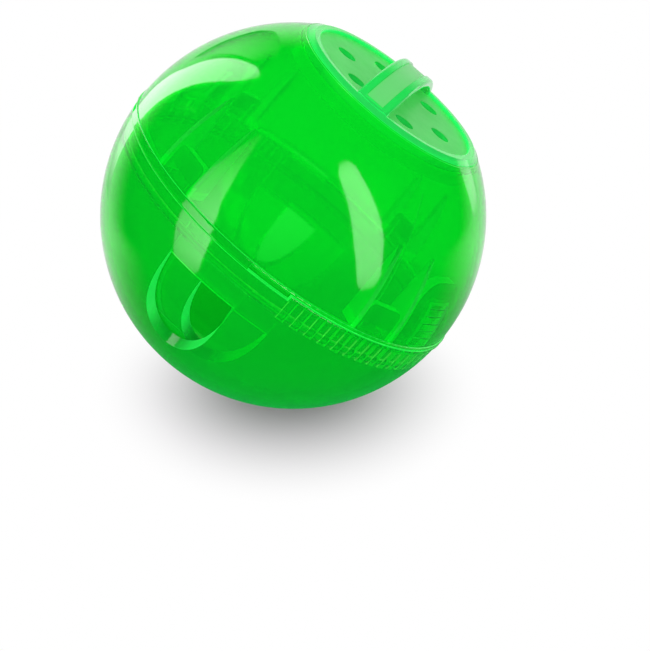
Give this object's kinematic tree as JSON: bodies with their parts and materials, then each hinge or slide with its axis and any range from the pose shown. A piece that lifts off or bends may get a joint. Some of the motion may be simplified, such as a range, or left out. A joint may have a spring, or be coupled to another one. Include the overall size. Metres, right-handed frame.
{
  "type": "treat dispensing ball",
  "caption": "Clear green hollow pet ball with turning halves, an adjustable treat window over a nested bowl, and a plug lid with a bar handle.",
  "frame": {"origin": "centre of the ball", "axes": "+Z along the turning axis, towards the lid; -Y and +Y through the lower shell's two windows"},
  "size_m": [0.0764, 0.0764, 0.076],
  "materials": {
    "lower_shell": "clear tinted green plastic, glossy",
    "inner_bowl": "clear tinted green plastic, glossy",
    "upper_shell": "clear tinted green plastic, glossy",
    "lid": "clear tinted green plastic, lightly frosted on the plate"
  },
  "bodies": {
    "base": {"lower_shell": "lower_shell"},
    "turning_half": {"inner_bowl": "inner_bowl", "upper_shell": "upper_shell"},
    "lid": {"lid": "lid"}
  },
  "joints": [
    {"name": "opening_turn", "type": "hinge", "parent": "base", "child": "turning_half", "pos_m": [0, 0, 0], "axis": [0, 0, 1], "range_deg": [-12.8, 14.3]},
    {"name": "lid_pull", "type": "slide", "parent": "turning_half", "child": "lid", "axis": [0, 0, 1], "range_m": [0, 0.04]}
  ]
}
